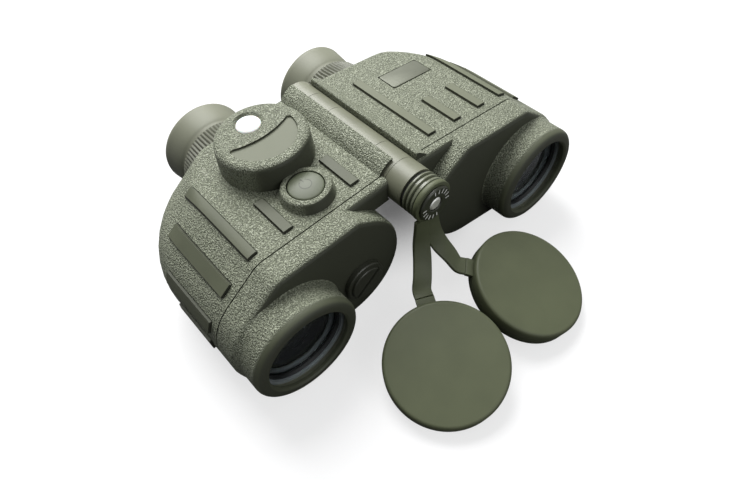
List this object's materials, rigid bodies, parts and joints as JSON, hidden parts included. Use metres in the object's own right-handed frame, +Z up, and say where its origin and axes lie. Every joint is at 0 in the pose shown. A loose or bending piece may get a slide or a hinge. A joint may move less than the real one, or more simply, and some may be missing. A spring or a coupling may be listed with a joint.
{
  "type": "porro prism binoculars",
  "caption": "Rubber-armoured porro prism binoculars with a centre hinge, compass drum, lit range reticle, knurled focus eyepieces and tethered objective caps.",
  "frame": {"origin": "floor point under the middle of the whole part's box, on the hinge's plane", "axes": "+X to the plain half, -X to the compass half, +Y towards the eyepieces along the hinge, +Z up from the floor"},
  "size_m": [0.1882, 0.1882, 0.0721],
  "materials": {
    "armour_rubber": "pebbled matt olive rubber",
    "bare_aluminium": "machined",
    "battery_wrap": "bare wrap",
    "black_metal": "satin black anodised",
    "board_plastic": "circuit board",
    "button_rubber": "smooth matt olive rubber",
    "cap_rubber": "smooth matt olive rubber",
    "card_plastic": "printed disc",
    "cast_paint": "satin olive paint over a casting",
    "contact_brass": "bright",
    "dark_metal": "satin dark olive",
    "dark_plastic": "matt",
    "eye_glass": "polished",
    "eyecup_rubber": "smooth matt grey-olive rubber",
    "milky_plastic": "glossy milky white",
    "nameplate_metal": "matt black, bare",
    "objective_glass": "polished and coated",
    "pivot_steel": "turned",
    "prism_glass": "polished",
    "ring_rubber": "ribbed matt rubber",
    "seal_rubber": "matt black rubber"
  },
  "bodies": {
    "left_half": {"left_armour": "armour_rubber", "left_front_armour": "armour_rubber", "left_housing": "cast_paint", "left_prism_shelf": "bare_aluminium", "left_rear_prism": "prism_glass", "left_front_prism": "prism_glass", "left_objective_cell": "black_metal", "left_objective_glass": "objective_glass", "left_objective_ring": "black_metal", "left_eye_barrel": "black_metal", "compass_dome": "milky_plastic", "compass_bowl": "dark_plastic", "compass_window": "eye_glass", "compass_pivot": "pivot_steel", "switch_body": "dark_plastic", "circuit_board": "board_plastic", "battery": "battery_wrap", "battery_contact": "contact_brass"},
    "right_half": {"right_armour": "armour_rubber", "right_front_armour": "armour_rubber", "right_housing": "cast_paint", "right_prism_shelf": "bare_aluminium", "right_rear_prism": "prism_glass", "right_front_prism": "prism_glass", "right_objective_cell": "black_metal", "right_objective_glass": "objective_glass", "right_objective_ring": "black_metal", "right_eye_barrel": "black_metal", "reticle_plate": "eye_glass", "nameplate": "nameplate_metal", "hinge_pin": "pivot_steel", "hinge_seal": "seal_rubber", "hinge_collar": "cast_paint", "hinge_disc": "dark_metal", "centre_screw": "pivot_steel"},
    "left_ring": {"left_focus_ring": "ring_rubber"},
    "left_ocular": {"left_ocular_tube": "black_metal", "left_eyecup": "eyecup_rubber", "left_eye_glass": "eye_glass", "left_field_glass": "eye_glass"},
    "right_ring": {"right_focus_ring": "ring_rubber"},
    "right_ocular": {"right_ocular_tube": "black_metal", "right_eyecup": "eyecup_rubber", "right_eye_glass": "eye_glass", "right_field_glass": "eye_glass"},
    "compass_disc": {"compass_card": "card_plastic"},
    "button": {"power_button": "button_rubber"},
    "battery_lid": {"battery_cap": "dark_plastic"},
    "strap": {"cap_strap": "cap_rubber"},
    "left_lid": {"left_cap": "cap_rubber"},
    "right_lid": {"right_cap": "cap_rubber"}
  },
  "joints": [
    {"name": "fold", "type": "hinge", "parent": "left_half", "child": "right_half", "pos_m": [0, 0, 0.05541], "axis": [0, 1, 0], "range_deg": [-7, 22]},
    {"name": "left_focus", "type": "hinge", "parent": "left_half", "child": "left_ring", "pos_m": [-0.03456, 0.06831, 0.02658], "axis": [0, 1, 0], "range_deg": [-125, 125]},
    {"name": "left_ocular_shift", "type": "slide", "parent": "left_half", "child": "left_ocular", "axis": [0, 1, 0], "range_m": [-0.0025, 0.0025]},
    {"name": "right_focus", "type": "hinge", "parent": "right_half", "child": "right_ring", "pos_m": [0.03456, 0.06831, 0.02658], "axis": [0, 1, 0], "range_deg": [-125, 125]},
    {"name": "right_ocular_shift", "type": "slide", "parent": "right_half", "child": "right_ocular", "axis": [0, 1, 0], "range_m": [-0.0025, 0.0025]},
    {"name": "compass_turn", "type": "hinge", "parent": "left_half", "child": "compass_disc", "pos_m": [-0.03396, 0.03191, 0.06329], "axis": [-0.0628, 0, 0.998], "continuous": true},
    {"name": "button_press", "type": "slide", "parent": "left_half", "child": "button", "axis": [0.0628, 0, -0.998], "range_m": [0, 0.0008], "stiffness_N_per_m": 1500},
    {"name": "battery_cap_off", "type": "slide", "parent": "left_half", "child": "battery_lid", "axis": [0, -1, 0], "range_m": [0, 0.016]},
    {"name": "strap_swing", "type": "hinge", "parent": "right_half", "child": "strap", "pos_m": [0, -0.03014, 0.05541], "axis": [0, 1, 0], "range_deg": [-30, 30]},
    {"name": "left_cap_bend", "type": "hinge", "parent": "strap", "child": "left_lid", "pos_m": [-0.01594, -0.0448, 0.01867], "axis": [-0.8801, 0.4642, -0.1], "range_deg": [-5, 40], "stiffness_Nm_per_rad": 0.1},
    {"name": "right_cap_bend", "type": "hinge", "parent": "strap", "child": "right_lid", "pos_m": [0.00734, -0.0463, 0.02145], "axis": [-0.7724, -0.6297, -0.0827], "range_deg": [-5, 40], "stiffness_Nm_per_rad": 0.1}
  ],
  "couplings": [
    {"joint": "left_focus", "follows": "left_ocular_shift", "rad_per_m": 872.6},
    {"joint": "right_focus", "follows": "right_ocular_shift", "rad_per_m": 872.6}
  ]
}
